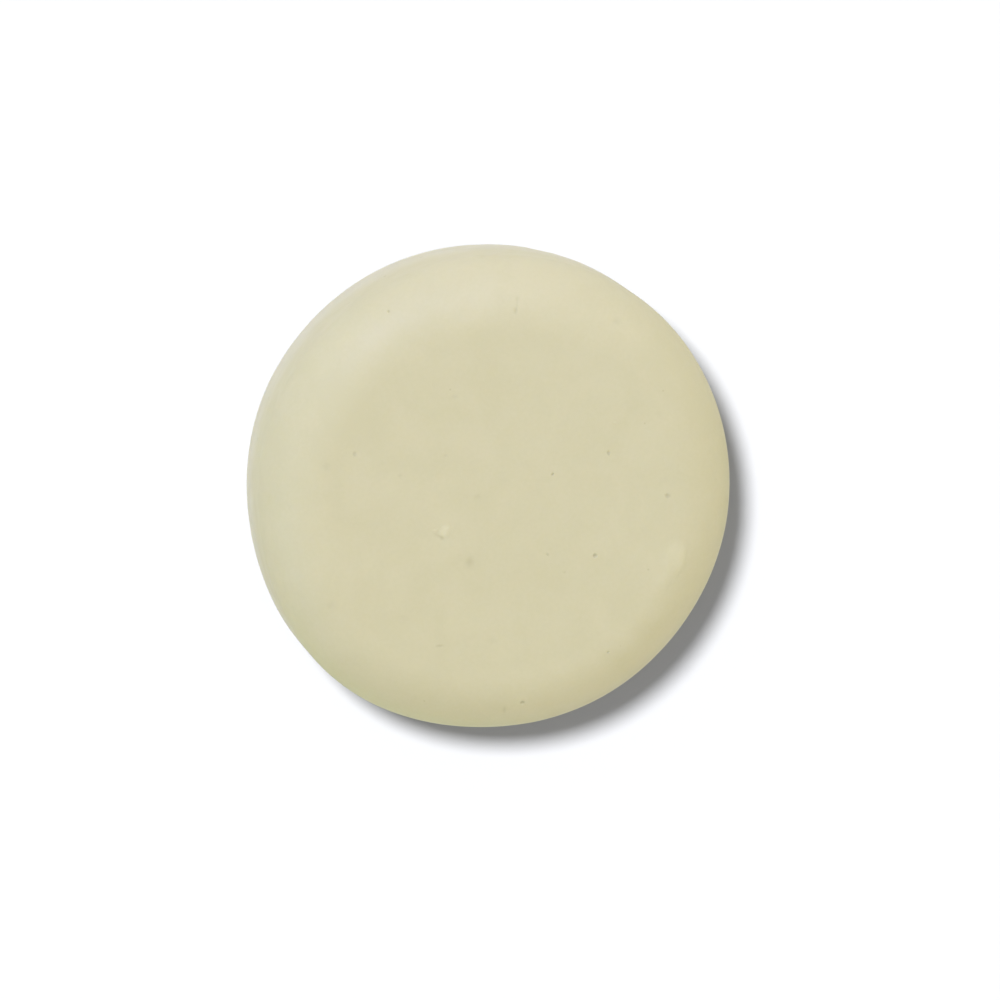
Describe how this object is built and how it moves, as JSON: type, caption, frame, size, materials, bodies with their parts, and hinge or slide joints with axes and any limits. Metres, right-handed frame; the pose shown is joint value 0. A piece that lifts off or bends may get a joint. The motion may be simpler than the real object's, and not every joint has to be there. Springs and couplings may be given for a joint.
{
  "type": "shaving soap puck",
  "caption": "Round cream-coloured cake of shaving soap with a broad rounded shoulder, a nearly flat lathering face and a flat back to rest on in a mug.",
  "frame": {"origin": "centre of the flat resting face, on the puck's axis", "axes": "+Z along the puck's axis, from the resting face up to the moulded lathering face; the puck is round, so X and Y are any two directions across it"},
  "size_m": [0.064, 0.064, 0.024],
  "materials": {
    "soap": "satin"
  },
  "bodies": {
    "root": {"soap_puck": "soap"}
  },
  "joints": []
}
